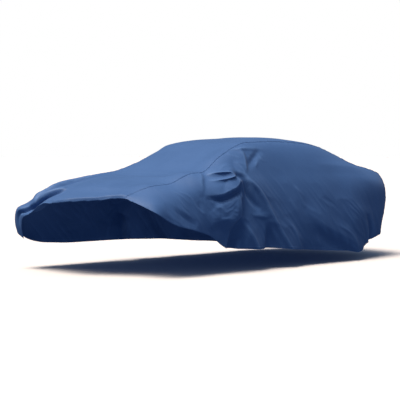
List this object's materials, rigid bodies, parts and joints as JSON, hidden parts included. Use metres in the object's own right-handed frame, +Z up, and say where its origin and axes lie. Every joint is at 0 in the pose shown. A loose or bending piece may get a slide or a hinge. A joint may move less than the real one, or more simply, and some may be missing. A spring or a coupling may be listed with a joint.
{
  "type": "car cover",
  "caption": "Fitted car cover of woven cloth, draped to a four-door car's shape over its mirrors, open underneath, with the front hem pulled back over the bonnet.",
  "frame": {"origin": "underside of the top panel at the middle of the roof, where the roof carries the cover", "axes": "+X runs along the car to its rear, so the pulled-back front hem is at -X; +Y is the car's right side; +Z is up. The ground is 1.417 m below the origin"},
  "size_m": [4.6114, 2.0398, 1.3307],
  "materials": {
    "cloth": "woven polyester, matt with a slight sheen"
  },
  "bodies": {
    "root": {"top_panel": "cloth", "left_panel": "cloth", "right_panel": "cloth"}
  },
  "joints": []
}
